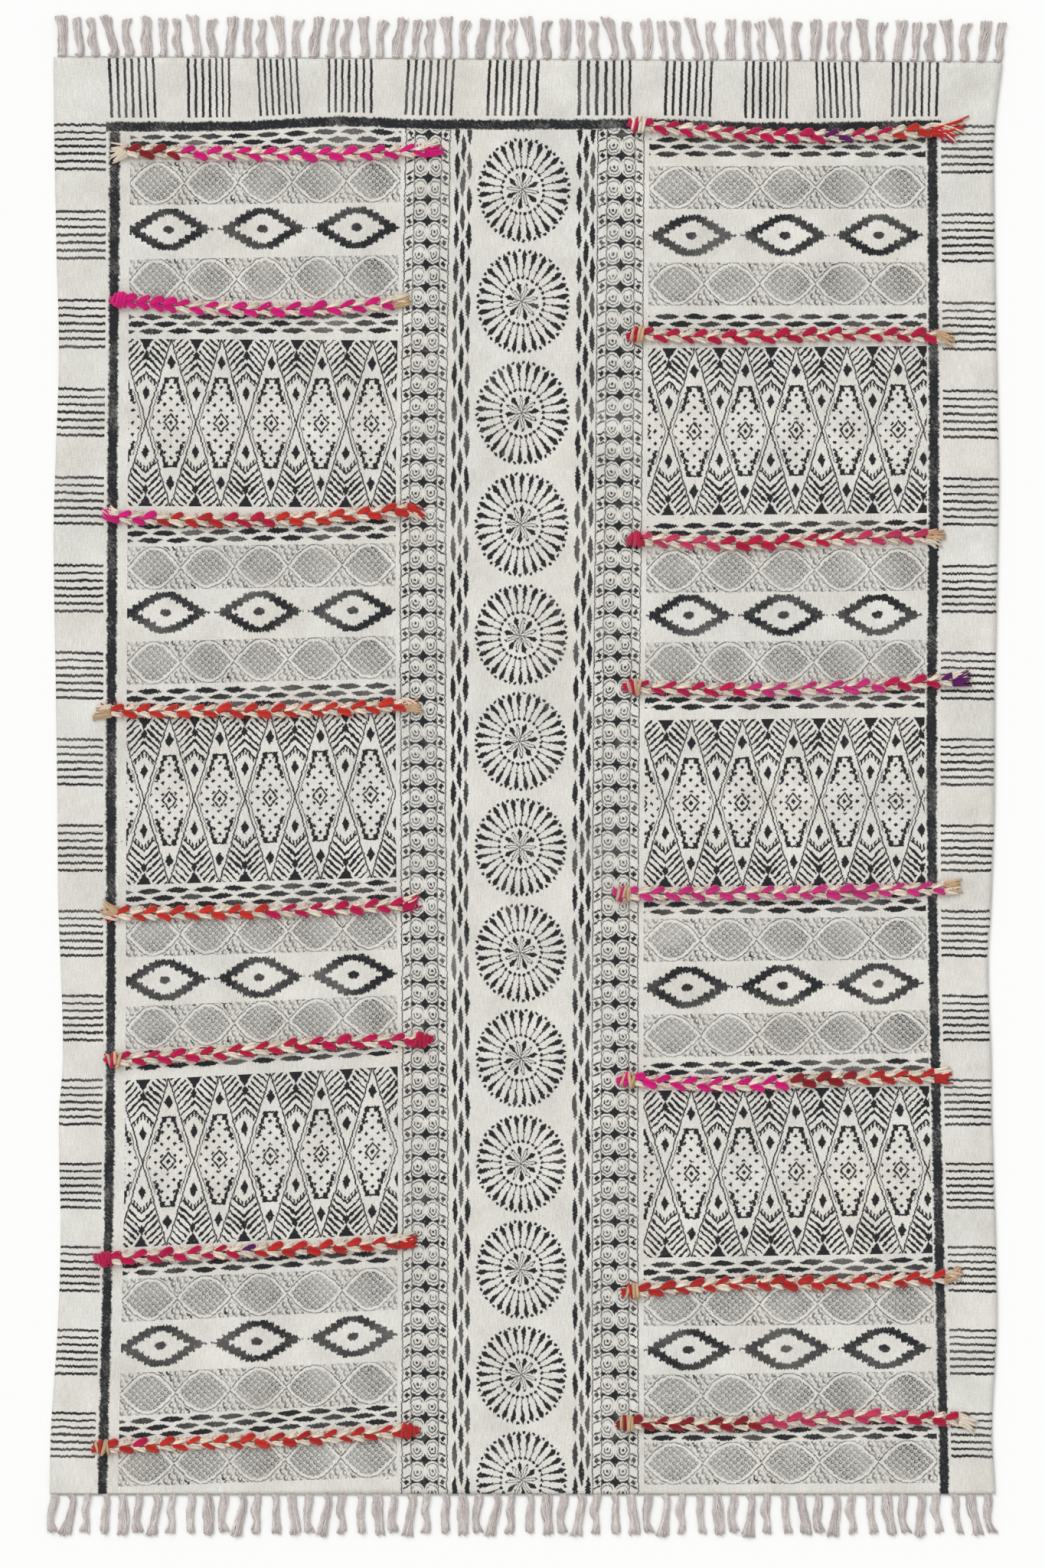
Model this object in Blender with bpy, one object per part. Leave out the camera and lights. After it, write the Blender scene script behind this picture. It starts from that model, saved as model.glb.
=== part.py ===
"""Block-printed cotton dhurrie, about 120 by 180 cm, with wool braids sewn on and a fringe at both ends.

The rug lies flat, underside at z = 0, centred on the origin, its length along Y. The cloth is one
slab with the wandering long edges of a handwoven rug. Sixteen flattened plaits lie across it in two
columns, and each end carries one comb of tassels.
"""
import bisect
import math

import bpy

MM = 0.001
GAP = 0.3                      # clearance between neighbouring pieces; all sizes are in millimetres

# Cloth
CLOTH_THICKNESS = 3.0
TOP_EDGE = (915.4, 908.6)      # height of the top edge at its left and right corners
BOTTOM_EDGE = (-915.0, -915.0)
CORNER_RADIUS = 5.0
CORNER_STEPS = 4
SIDE_STEPS = 44
LONG_EDGES = (
    # y, left x, right x
    (914, -603, 606),
    (813, -602, 596),
    (657, -599, 597),
    (540, -596, 599),
    (384, -601, 602),
    (305, -603, 601),
    (110, -600, 597),
    (-46, -598, 596),
    (-163, -597, 592),
    (-241, -594, 588),
    (-358, -591, 592),
    (-436, -596, 593),
    (-592, -594, 598),
    (-710, -598, 599),
    (-827, -606, 593),
    (-913, -608, 597),
)

# Fringe: a strip against the cloth's edge that carries one row of tassels
FRINGE_THICKNESS = 5.0
FRINGE_STRIP = 2.0
TASSEL_STATIONS = (0.0, 0.17, 0.45, 0.72, 1.0)
TASSEL_FORMS = (
    # name, length, sideways offset at each station, width at each station
    ("lobed", 54, (0.0, 3.0, 0.7, -2.0, -4.5), (10.5, 9.5, 10.5, 12.0, 17.5)),
    ("flared", 49, (0.0, 0.7, -1.5, -2.6, 1.0), (8.0, 10.5, 10.5, 9.5, 15.0)),
    ("double", 52, (0.0, 1.0, 1.5, 3.5, 4.0), (10.5, 12.5, 14.0, 13.0, 15.0)),
    ("strip", 50, (0.0, 2.2, 1.0, 1.5, 3.0), (9.5, 9.0, 9.5, 10.0, 12.0)),
    ("elbow", 50, (0.0, -1.0, -3.5, -0.5, -2.0), (9.0, 9.5, 11.0, 8.0, 13.5)),
)
FRINGES = (
    # node, side of the rug, number of tassels, first tassel x, last tassel x,
    # cycle of forms, sideways lean of the tips at even places along the row
    ("fringe_top", 1, 57, -591.5, 600.0, (2, 3, 4, 0, 1), (-7.0, -1.0, 4.0, 0.0, -6.0, 0.0, 4.0)),
    ("fringe_bottom", -1, 56, -602.0, 587.0, (1, 0, 4, 3, 2), (-4.5, -1.5, 0.0, -2.0, 1.0, 3.0, 6.0)),
)

# Braids: flattened wool plaits that lie on the cloth
BRAID_WIDTH = 21.0
BRAID_HEIGHT = 9.0
BRAID_STEPS = 12
BRAID_STATIONS = (0.0, 1.0 / 3.0, 2.0 / 3.0, 1.0)
KNOT_SWELL = 1.22              # girth of the wrapped knot over that of the plait
TAIL_GIRTH = 0.55              # girth of a loose end
END_REACH = 0.09               # share of the braid's length that its end shape takes
BRAIDS = (
    # node, start x, end x, y at four even stations, knotted end, wool
    ("braid_left_1", -535, -103, (796, 792, 791, 797), "none", "pink"),
    ("braid_left_2", -532, -144, (607, 595, 594, 604), "start", "pink"),
    ("braid_left_3", -546, -125, (330, 325, 328, 342), "none", "magenta"),
    ("braid_left_4", -556, -129, (82, 82, 83, 92), "start", "orange"),
    ("braid_left_5", -547, -131, (-176, -175, -171, -163), "start", "crimson"),
    ("braid_left_6", -539, -120, (-363, -354, -341, -336), "end", "crimson"),
    ("braid_left_7", -551, -136, (-617, -608, -602, -593), "start", "magenta"),
    ("braid_left_8", -554, -137, (-856, -850, -844, -833), "end", "red"),
    ("braid_right_1", 128, 566, (830, 817, 815, 827), "start", "crimson"),
    ("braid_right_2", 127, 549, (562, 558, 562, 558), "start", "crimson"),
    ("braid_right_3", 126, 535, (302, 295, 301, 305), "start", "magenta"),
    ("braid_right_4", 123, 569, (113, 109, 113, 124), "start", "magenta"),
    ("braid_right_5", 109, 559, (-151, -150, -148, -142), "start", "magenta"),
    ("braid_right_6", 115, 546, (-386, -394, -386, -382), "start", "pink"),
    ("braid_right_7", 121, 560, (-658, -647, -646, -637), "start", "red"),
    ("braid_right_8", 113, 577, (-824, -826, -816, -821), "start", "red"),
)

COLOURS = {
    # linear red, green, blue
    "cloth": (0.73, 0.71, 0.66),
    "fringe": (0.62, 0.53, 0.50),
    "pink": (0.72, 0.02, 0.28),
    "magenta": (0.60, 0.03, 0.20),
    "crimson": (0.55, 0.02, 0.08),
    "red": (0.62, 0.05, 0.03),
    "orange": (0.70, 0.10, 0.04),
}
YARN_ROUGHNESS = 0.9


def smooth_through(stations, values, at):
    """Return the value at a place along the stations, on a Catmull-Rom curve through the values."""
    last = len(stations) - 1
    left = min(max(bisect.bisect_right(stations, at) - 1, 0), last - 1)

    def slope(index):
        before, after = max(index - 1, 0), min(index + 1, last)
        return (values[after] - values[before]) / (stations[after] - stations[before])

    span = stations[left + 1] - stations[left]
    t = (at - stations[left]) / span
    rise = values[left] * (2 * t**3 - 3 * t**2 + 1) + values[left + 1] * (3 * t**2 - 2 * t**3)
    swing = slope(left) * (t**3 - 2 * t**2 + t) + slope(left + 1) * (t**3 - t**2)
    return rise + span * swing


def long_edge(column, y):
    """Return the x of the left (1) or right (2) edge of the cloth at a height on the rug."""
    rows = sorted(LONG_EDGES)
    return smooth_through([row[0] for row in rows], [row[column] for row in rows], y)


def end_edge(side, x):
    """Return the y of the cloth's top (1) or bottom (-1) edge at x."""
    left, right = TOP_EDGE if side > 0 else BOTTOM_EDGE
    share = (x - LONG_EDGES[0][1]) / (LONG_EDGES[0][2] - LONG_EDGES[0][1])
    return left + (right - left) * share


def fibre(name):
    """Return the plain yarn material of a colour, made once."""
    material = bpy.data.materials.get(name)
    if material is None:
        material = bpy.data.materials.new(name)
        material.use_nodes = True
        shader = material.node_tree.nodes["Principled BSDF"]
        shader.inputs["Base Color"].default_value = (*COLOURS[name], 1.0)
        shader.inputs["Roughness"].default_value = YARN_ROUGHNESS
        shader.inputs["Metallic"].default_value = 0.0
    return material


def add_curve(name, points, radii, cyclic, colour, collection):
    """Add a curve object on one poly spline through points in millimetres."""
    curve = bpy.data.curves.new(name, "CURVE")
    spline = curve.splines.new("POLY")
    spline.points.add(len(points) - 1)
    for target, point, radius in zip(spline.points, points, radii):
        target.co = (*[value * MM for value in point], 1.0)
        target.radius = radius
    spline.use_cyclic_u = cyclic
    curve.materials.append(fibre(colour))
    piece = bpy.data.objects.new(name, curve)
    collection.objects.link(piece)
    return piece


def add_flat_piece(name, outline, thickness, colour, collection):
    """Add a slab with the given outline that rests on z = 0."""
    points = [(x, y, 0.0) for x, y in outline]
    piece = add_curve(name, points, [1.0] * len(points), True, colour, collection)
    piece.data.dimensions = "2D"
    piece.data.fill_mode = "BOTH"
    piece.data.extrude = thickness * MM / 2.0
    piece.location.z = thickness * MM / 2.0
    return piece


def rounded_corner(x, y, inward_x, inward_y, start_angle):
    """Return a quarter turn of points, anticlockwise, round the corner whose sharp tip is at x, y."""
    centre_x = x + inward_x * CORNER_RADIUS
    centre_y = y + inward_y * CORNER_RADIUS
    angles = [start_angle + math.pi / 2.0 * step / CORNER_STEPS for step in range(CORNER_STEPS + 1)]
    return [(centre_x + CORNER_RADIUS * math.cos(angle), centre_y + CORNER_RADIUS * math.sin(angle))
            for angle in angles]


def build_cloth(collection):
    """Build the woven ground, one slab whose long edges wander."""
    left_top, right_top = long_edge(1, TOP_EDGE[0]), long_edge(2, TOP_EDGE[1])
    left_bottom, right_bottom = long_edge(1, BOTTOM_EDGE[0]), long_edge(2, BOTTOM_EDGE[1])
    outline = rounded_corner(left_bottom, BOTTOM_EDGE[0], 1, 1, math.pi)
    outline += rounded_corner(right_bottom, BOTTOM_EDGE[1], -1, 1, 1.5 * math.pi)
    low, high = BOTTOM_EDGE[0] + CORNER_RADIUS, TOP_EDGE[1] - CORNER_RADIUS
    heights = [low + (high - low) * step / SIDE_STEPS for step in range(1, SIDE_STEPS)]
    outline += [(long_edge(2, y), y) for y in heights]
    outline += rounded_corner(right_top, TOP_EDGE[1], -1, -1, 0.0)
    outline += rounded_corner(left_top, TOP_EDGE[0], 1, -1, 0.5 * math.pi)
    outline += [(long_edge(1, y), y) for y in reversed(heights)]
    add_flat_piece("rug_cloth", outline, CLOTH_THICKNESS, "cloth", collection)


def tassel_outline(x, root_y, side, form, lean):
    """Return the points round one tassel, up its left side and down its right."""
    _, length, offsets, widths = form
    left, right = [], []
    for station, offset, width in zip(TASSEL_STATIONS, offsets, widths):
        centre = x + offset + lean * station**1.5
        y = root_y + side * length * station
        left.append((centre - width / 2.0, y))
        right.append((centre + width / 2.0, y))
    return left + right[::-1]


def build_fringe(collection, node, side, count, first_x, last_x, cycle, leans):
    """Build one end's fringe as a comb: a thin strip along the edge with a tooth for each tassel."""
    places = [index / (len(leans) - 1) for index in range(len(leans))]
    outline = []
    for index in range(count):
        share = index / (count - 1)
        x = first_x + (last_x - first_x) * share
        root_y = end_edge(side, x) + side * (GAP + FRINGE_STRIP)
        form = TASSEL_FORMS[cycle[index % len(cycle)]]
        lean = smooth_through(places, leans, share)
        outline += tassel_outline(x, root_y, side, form, lean)
    for x in (outline[-1][0], outline[0][0]):
        outline.append((x, end_edge(side, x) + side * GAP))
    add_flat_piece(node, outline, FRINGE_THICKNESS, "fringe", collection)


def end_girth(share, knotted):
    """Return the girth near an end, share running from 0 at the tip to 1 where the plait is whole."""
    if share >= 1.0:
        return 1.0
    if knotted:
        return 1.0 + (KNOT_SWELL - 1.0) * math.sin(math.pi * (0.25 + 0.75 * share))
    return TAIL_GIRTH + (1.0 - TAIL_GIRTH) * math.sin(math.pi / 2.0 * share)


def build_braid(collection, node, start_x, end_x, heights, knot, colour):
    """Build one plait as a flattened tube that swells at its knot and thins at its loose end."""
    half_width = BRAID_WIDTH / 2.0
    points, radii = [], []
    for step in range(BRAID_STEPS + 1):
        share = 0.5 - 0.5 * math.cos(math.pi * step / BRAID_STEPS)
        start = end_girth(share / END_REACH, knot == "start")
        end = end_girth((1.0 - share) / END_REACH, knot == "end")
        girth = start * end
        points.append((start_x + (end_x - start_x) * share,
                       smooth_through(BRAID_STATIONS, heights, share),
                       girth * half_width))
        radii.append(girth)
    braid = add_curve(node, points, radii, False, colour, collection)
    braid.data.dimensions = "3D"
    braid.data.bevel_depth = half_width * MM
    braid.data.bevel_resolution = 2
    braid.data.use_fill_caps = True
    braid.scale.z = BRAID_HEIGHT / BRAID_WIDTH
    braid.location.z = (CLOTH_THICKNESS + GAP) * MM


def main():
    """Clear the scene and build the rug."""
    for old in list(bpy.data.objects):
        bpy.data.objects.remove(old, do_unlink=True)
    collection = bpy.data.collections.new("dhurrie_rug")
    bpy.context.scene.collection.children.link(collection)
    build_cloth(collection)
    for fringe in FRINGES:
        build_fringe(collection, *fringe)
    for braid in BRAIDS:
        build_braid(collection, *braid)


main()
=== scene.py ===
"""Looks of the block-printed cotton dhurrie: woven ground with its print, wool braids and fringes.

Lengths in the tables are millimetres in the frame's own axes: x across the rug, y along it, z up.
The tables that place the cloth's edge, the tassels and the braids repeat the ones in the CAD.
"""

import bisect
import functools
import math
import random

import bpy
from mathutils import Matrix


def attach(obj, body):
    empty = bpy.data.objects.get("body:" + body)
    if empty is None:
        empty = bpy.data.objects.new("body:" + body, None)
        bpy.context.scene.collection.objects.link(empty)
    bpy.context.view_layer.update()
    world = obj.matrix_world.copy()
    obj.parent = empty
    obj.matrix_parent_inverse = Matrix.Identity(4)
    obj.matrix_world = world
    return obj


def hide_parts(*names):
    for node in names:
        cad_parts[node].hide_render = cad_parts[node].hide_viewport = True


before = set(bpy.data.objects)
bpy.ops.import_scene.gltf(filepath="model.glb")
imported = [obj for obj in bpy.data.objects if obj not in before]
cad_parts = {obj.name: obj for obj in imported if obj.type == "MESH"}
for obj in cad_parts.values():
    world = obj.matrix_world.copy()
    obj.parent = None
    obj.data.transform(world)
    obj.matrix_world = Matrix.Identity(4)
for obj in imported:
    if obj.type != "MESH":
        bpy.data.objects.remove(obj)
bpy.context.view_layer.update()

MM = 0.001
BODY = "root"
SEED = 20

# ---- places shared with the CAD
GAP = 0.3
CLOTH_THICKNESS = 3.0
TOP_EDGE = (915.4, 908.6)
BOTTOM_EDGE = (-915.0, -915.0)
LONG_EDGES = (
    # y, left x, right x
    (914, -603, 606), (813, -602, 596), (657, -599, 597), (540, -596, 599),
    (384, -601, 602), (305, -603, 601), (110, -600, 597), (-46, -598, 596),
    (-163, -597, 592), (-241, -594, 588), (-358, -591, 592), (-436, -596, 593),
    (-592, -594, 598), (-710, -598, 599), (-827, -606, 593), (-913, -608, 597),
)
TASSEL_STATIONS = (0.0, 0.17, 0.45, 0.72, 1.0)
TASSEL_FORMS = (
    # name, length, sideways offset at each station, width at each station
    ("lobed", 54, (0.0, 3.0, 0.7, -2.0, -4.5), (10.5, 9.5, 10.5, 12.0, 17.5)),
    ("flared", 49, (0.0, 0.7, -1.5, -2.6, 1.0), (8.0, 10.5, 10.5, 9.5, 15.0)),
    ("double", 52, (0.0, 1.0, 1.5, 3.5, 4.0), (10.5, 12.5, 14.0, 13.0, 15.0)),
    ("strip", 50, (0.0, 2.2, 1.0, 1.5, 3.0), (9.5, 9.0, 9.5, 10.0, 12.0)),
    ("elbow", 50, (0.0, -1.0, -3.5, -0.5, -2.0), (9.0, 9.5, 11.0, 8.0, 13.5)),
)
FRINGES = (
    # node, side of the rug, number of tassels, first tassel x, last tassel x,
    # cycle of forms, sideways lean of the tips at even places along the row
    ("fringe_top", 1, 57, -591.5, 600.0, (2, 3, 4, 0, 1), (-7.0, -1.0, 4.0, 0.0, -6.0, 0.0, 4.0)),
    ("fringe_bottom", -1, 56, -602.0, 587.0, (1, 0, 4, 3, 2), (-4.5, -1.5, 0.0, -2.0, 1.0, 3.0, 6.0)),
)
BRAID_STATIONS = (0.0, 1.0 / 3.0, 2.0 / 3.0, 1.0)
BRAIDS = (
    # node, slot, start x, end x, y at four even stations, start end, far end,
    # wool dyes along the braid as (share reached, dye)
    ("braid_left_1", "wool_pink", -535, -103, (796, 792, 791, 797), "tuft cream", "tuft pink",
     ((0.22, "dark red"), (1.0, "pink"))),
    ("braid_left_2", "wool_pink", -532, -144, (607, 595, 594, 604), "wrap pink", "tuft tan",
     ((1.0, "pink"),)),
    ("braid_left_3", "wool_magenta", -546, -125, (330, 325, 328, 342), "tuft pink", "tuft orange",
     ((0.16, "pink"), (0.38, "red"), (0.56, "crimson"), (1.0, "orange"))),
    ("braid_left_4", "wool_orange", -556, -129, (82, 82, 83, 92), "tuft tan", "tuft tan",
     ((1.0, "orange"),)),
    ("braid_left_5", "wool_crimson", -547, -131, (-176, -175, -171, -163), "tuft tan", "tuft raspberry",
     ((0.5, "orange"), (1.0, "raspberry"))),
    ("braid_left_6", "wool_crimson", -539, -120, (-363, -354, -341, -336), "knot tan", "knot crimson",
     ((0.3, "raspberry"), (0.62, "crimson"), (1.0, "raspberry"))),
    ("braid_left_7", "wool_magenta", -551, -136, (-617, -608, -602, -593), "knot raspberry", "tuft red",
     ((0.36, "raspberry"), (0.43, "crimson"), (0.48, "violet"), (1.0, "red"))),
    ("braid_left_8", "wool_red", -554, -137, (-856, -850, -844, -833), "knot tan", "knot red",
     ((0.12, "red"), (0.18, "raspberry"), (0.55, "orange"), (1.0, "red"))),
    ("braid_right_1", "wool_crimson", 128, 566, (830, 817, 815, 827), "knot cream", "brush orange",
     ((0.58, "raspberry"), (0.64, "violet"), (0.78, "raspberry"), (0.88, "orange"),
      (1.0, "raspberry"))),
    ("braid_right_2", "wool_crimson", 127, 549, (562, 558, 562, 558), "knot tan", "tuft tan",
     ((1.0, "crimson"),)),
    ("braid_right_3", "wool_magenta", 126, 535, (302, 295, 301, 305), "knot crimson", "tuft tan",
     ((0.3, "pale magenta"), (0.7, "crimson"), (1.0, "pale magenta"))),
    ("braid_right_4", "wool_magenta", 123, 569, (113, 109, 113, 124), "knot tan", "tuft violet",
     ((0.35, "raspberry"), (0.75, "magenta"), (0.9, "raspberry"), (1.0, "violet"))),
    ("braid_right_5", "wool_magenta", 109, 559, (-151, -150, -148, -142), "knot tan", "tuft tan",
     ((1.0, "magenta"),)),
    ("braid_right_6", "wool_pink", 115, 546, (-386, -394, -386, -382), "knot tan", "tuft red",
     ((0.5, "pink"), (0.7, "dark red"), (1.0, "red"))),
    ("braid_right_7", "wool_red", 121, 560, (-658, -647, -646, -637), "knot tan", "tuft tan",
     ((1.0, "red"),)),
    ("braid_right_8", "wool_red", 113, 577, (-824, -826, -816, -821), "knot tan", "tuft cream",
     ((0.4, "dark red"), (0.8, "pale magenta"), (1.0, "crimson"))),
)

# ---- the print's layout
# Print places are u across and v along the cloth, before the hand-woven edges sway.
COLUMNS = (
    # zone, left u, right u
    ("side", -601.0, -541.0),
    ("frame", -541.0, -520.0),
    ("plain", -520.0, -511.0),
    ("left panel", -511.0, -165.0),
    ("plain", -165.0, -160.5),
    ("tiles", -160.5, -99.0),
    ("chain", -99.0, -67.5),
    ("wheels", -67.5, 57.5),
    ("chain", 57.5, 85.5),
    ("tiles", 85.5, 145.0),
    ("plain", 145.0, 151.0),
    ("right panel", 151.0, 510.0),
    ("frame", 510.0, 530.0),
    ("side", 530.0, 598.0),
)
BANDS = (
    # kind, middle v at the ends of the left panel, middle v at the ends of the right panel
    ("beads", 806, 811, 801, 801),
    ("filigree", 754, 758, 749, 750),
    ("eyes", 695, 699, 688, 689),
    ("filigree", 630, 636, 626, 627),
    ("beads", 575, 577, 575, 576),
    ("diamonds", 450, 448, 438, 441),
    ("beads", 308, 315, 308, 314),
    ("filigree", 264, 269, 260, 263),
    ("eyes", 207, 211, 204, 205),
    ("filigree", 143, 151, 142, 146),
    ("beads", 97, 106, 96, 99),
    ("diamonds", -33, -23, -36, -32),
    ("beads", -158, -145, -165, -160),
    ("filigree", -204, -194, -210, -207),
    ("eyes", -262, -252, -271, -264),
    ("filigree", -322, -307, -332, -326),
    ("beads", -364, -343, -379, -372),
    ("diamonds", -495, -477, -508, -502),
    ("beads", -625, -607, -633, -626),
    ("filigree", -669, -653, -674, -672),
    ("eyes", -729, -712, -732, -729),
    ("filigree", -789, -773, -791, -786),
    ("beads", -833, -813, -836, -832),
    ("filigree", -879, -866, -876, -874),
)
# half a band's height
HALF_HEIGHTS = {"beads": 14.0, "filigree": 27.5, "eyes": 27.0, "diamonds": 106.5}
REPEATS = {
    # kind: pitch in the left panel, in the right panel, place of a repeat's middle as a share of
    # the pitch from the panel's left end, left and right
    "beads": (36.6, 37.0, 0.3, 0.15),
    "filigree": (69.2, 71.8, 0.0, 0.0),
    "eyes": (120.5, 121.0, 0.413, 0.456),
    "diamonds": (64.6, 65.5, 0.853, 0.914),
}
# the pitch that each motif is drawn at, which a panel then stretches to its own
PITCH = {"beads": 36.6, "filigree": 69.2, "eyes": 120.5, "diamonds": 64.0}
TOP_LINE = 829.6
TOP_LINE_REACH = (822.9, 841.0)  # lower and upper v of the strip that holds the line
TOP_LINE_SWAY = (
    # u, height of the top frame line above its mean
    (-515, -3), (-370, -2), (-245, 4), (-125, 0), (168, 0), (310, -4), (510, -1),
)
TOP_BORDER_MIDDLE = 875.0
TOP_BORDER_REACH = (-556.0, 546.0)
TOP_GROUPS = (-508, -409, -322, -232, -129, -19, 96, 202, 305, 394, 496)
TOP_GROUP_PITCH = 100.4
SIDE_GROUP_PITCH = 109.5
# the groups of lines sag a little from an even pitch half way down
SIDE_GROUPS = [802.5 - SIDE_GROUP_PITCH * k - 19 * math.sin(math.pi * k / 15) for k in range(16)]
# the upper wheels stand further apart than the lower ones
WHEELS = [746.0 - 142.0 * k for k in range(4)] + [178.0 - 134.5 * k for k in range(9)]
WHEEL_PITCH = 137.0
# middle u of each upright column, left and right
COLUMN_MIDDLES = {"tiles": (-129.8, 115.2), "chain": (-83.0, 72.5), "wheels": (-4.9, -4.9),
                  "frame": (-530.5, 518.7), "side": (-568.0, 562.0)}
SWAY_PLACES = (-530.5, -129.8, -4.9, 115.2, 518.7)
SWAY = (
    # v, sideways shift of the left frame, left tiles, wheels, right tiles and right frame
    (820, 6, 5, -1, 6, -2),
    (400, 3, -2, -2, 3, 0),
    (0, 1, -2, -4, -1, -3),
    (-450, -1, 1, -3, -3, 4),
    (-890, -10, 0, -2, -3, 14),
)
CELL = 9.0  # widest cell of the cloth's mesh
SOFT_FOLDS = (
    # x, y, direction in degrees, half length, half width, height
    (-470, 880, 35, 120, 32, 2.2),
    (-330, 800, -20, 160, 30, 1.6),
    (270, 890, 78, 60, 24, 2.0),
    (350, 860, 70, 70, 26, 1.8),
    (-560, 560, 10, 90, 30, 1.6),
    (20, -90, 5, 330, 26, 1.5),
    (470, 420, -60, 150, 34, 1.4),
    (-300, -330, 25, 200, 36, 1.4),
    (250, -560, -15, 220, 40, 1.3),
    (-420, -870, 8, 200, 26, 1.6),
    (120, -880, -6, 220, 28, 1.5),
)

# ---- colours (linear)
CLOTH_WARM = (0.745, 0.708, 0.645)
CLOTH_COOL = (0.675, 0.678, 0.643)
INK = (0.0185, 0.0195, 0.0225)
FRINGE_LIGHT = (0.82, 0.755, 0.72)
FRINGE_DARK = (0.62, 0.555, 0.53)
DYES = {
    "pink": (0.76, 0.008, 0.215),
    "magenta": (0.66, 0.03, 0.215),
    "pale magenta": (0.62, 0.045, 0.13),
    "raspberry": (0.58, 0.007, 0.085),
    "crimson": (0.54, 0.009, 0.055),
    "red": (0.54, 0.024, 0.020),
    "orange": (0.62, 0.032, 0.020),
    "dark red": (0.30, 0.014, 0.020),
    "violet": (0.13, 0.010, 0.13),
    "cream": (0.90, 0.79, 0.645),
    "tan": (0.66, 0.44, 0.26),
}


# ---- curves through tables
def smooth_through(stations, values, at):
    """Return the value at a place along the stations, on a Catmull-Rom curve through the values."""
    last = len(stations) - 1
    left = min(max(bisect.bisect_right(stations, at) - 1, 0), last - 1)

    def slope(index):
        before, after = max(index - 1, 0), min(index + 1, last)
        return (values[after] - values[before]) / (stations[after] - stations[before])

    span = stations[left + 1] - stations[left]
    t = min(max((at - stations[left]) / span, 0.0), 1.0)
    rise = values[left] * (2 * t**3 - 3 * t**2 + 1) + values[left + 1] * (3 * t**2 - 2 * t**3)
    swing = slope(left) * (t**3 - 2 * t**2 + t) + slope(left + 1) * (t**3 - t**2)
    return rise + span * swing


def straight_through(stations, values, at):
    """Return the value at a place on straight runs through the values, held level past the ends."""
    if at <= stations[0]:
        return values[0]
    if at >= stations[-1]:
        return values[-1]
    left = bisect.bisect_right(stations, at) - 1
    share = (at - stations[left]) / (stations[left + 1] - stations[left])
    return values[left] + (values[left + 1] - values[left]) * share


def place_in_row(middles, at):
    """Return where a place falls in a row of repeats: whole numbers are the repeats' middles."""
    order = sorted(middles)
    left = min(max(bisect.bisect_right(order, at) - 1, 0), len(order) - 2)
    return left + (at - order[left]) / (order[left + 1] - order[left])


def soft_step(low, high, at):
    """Return 0 below low, 1 above high and a smooth rise between."""
    t = min(max((at - low) / (high - low), 0.0), 1.0)
    return t * t * (3.0 - 2.0 * t)


def table_curve(rows, column, at):
    """Return a column of a sorted table at a place, on a smooth curve through its rows."""
    return smooth_through([row[0] for row in rows], [row[column] for row in rows], at)


EDGE_ROWS = sorted(LONG_EDGES)
SWAY_ROWS = sorted(SWAY)


def long_edge(column, y):
    """Return the x of the left (1) or right (2) edge of the cloth."""
    return table_curve(EDGE_ROWS, column, y)


def end_edge(side, x):
    """Return the y of the cloth's top (1) or bottom (-1) edge at x."""
    left, right = TOP_EDGE if side > 0 else BOTTOM_EDGE
    share = (x - LONG_EDGES[0][1]) / (LONG_EDGES[0][2] - LONG_EDGES[0][1])
    return left + (right - left) * share


def sway_at(v):
    """Return the print places across the cloth at v and how far each is shifted sideways."""
    places = [COLUMNS[0][1], *SWAY_PLACES, COLUMNS[-1][2]]
    shifts = [table_curve(SWAY_ROWS, column, v) for column in range(1, 6)]
    return places, [long_edge(1, v) - places[0], *shifts, long_edge(2, v) - places[-1]]


def underside_height(x, y):
    """Return how far the laid cloth stands off the floor, a soft ripple with a few low folds."""
    ripple = 0.5 + 0.26 * math.sin(x / 83.0 + 1.3 * math.sin(y / 210.0))
    ripple += 0.24 * math.sin(y / 67.0 + 1.7 * math.sin(x / 190.0) + 0.8)
    height = 0.7 * ripple
    for fold_x, fold_y, angle, half_length, half_width, rise in SOFT_FOLDS:
        turn = math.radians(angle)
        along = (x - fold_x) * math.cos(turn) + (y - fold_y) * math.sin(turn)
        across = (y - fold_y) * math.cos(turn) - (x - fold_x) * math.sin(turn)
        reach = (along / half_length) ** 2 + (across / half_width) ** 2
        height += rise * math.exp(-reach)
    return height


def top_height(x, y):
    """Return the height of the cloth's upper face."""
    return underside_height(x, y) + CLOTH_THICKNESS - GAP


# ---- shader arithmetic
class Field:
    """A number that varies over a surface: a shader socket that takes ordinary arithmetic."""

    def __init__(self, socket):
        self.socket = socket

    def __add__(self, other):
        return compute("ADD", self, other)

    def __sub__(self, other):
        return compute("SUBTRACT", self, other)

    def __rsub__(self, other):
        return compute("SUBTRACT", other, self)

    def __mul__(self, other):
        return compute("MULTIPLY", self, other)

    def __truediv__(self, other):
        return compute("DIVIDE", self, other)

    def __abs__(self):
        return compute("ABSOLUTE", self)

    __radd__ = __add__
    __rmul__ = __mul__


def feed(socket, value):
    """Put a field, another socket or a constant into a shader input."""
    if isinstance(value, Field):
        value = value.socket
    if isinstance(value, bpy.types.NodeSocket):
        socket.id_data.links.new(value, socket)
    else:
        socket.default_value = value


def compute(operation, *values, clamp=False):
    """Return the field that a math node makes of fields and constants."""
    tree = next(value.socket.id_data for value in values if isinstance(value, Field))
    node = tree.nodes.new("ShaderNodeMath")
    node.operation = operation
    node.use_clamp = clamp
    for socket, value in zip(node.inputs, values):
        feed(socket, value)
    return Field(node.outputs[0])


def least(*fields):
    """Return the smallest of several fields."""
    return functools.reduce(lambda one, other: compute("MINIMUM", one, other), fields)


def most(*fields):
    """Return the largest of several fields."""
    return functools.reduce(lambda one, other: compute("MAXIMUM", one, other), fields)


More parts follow.
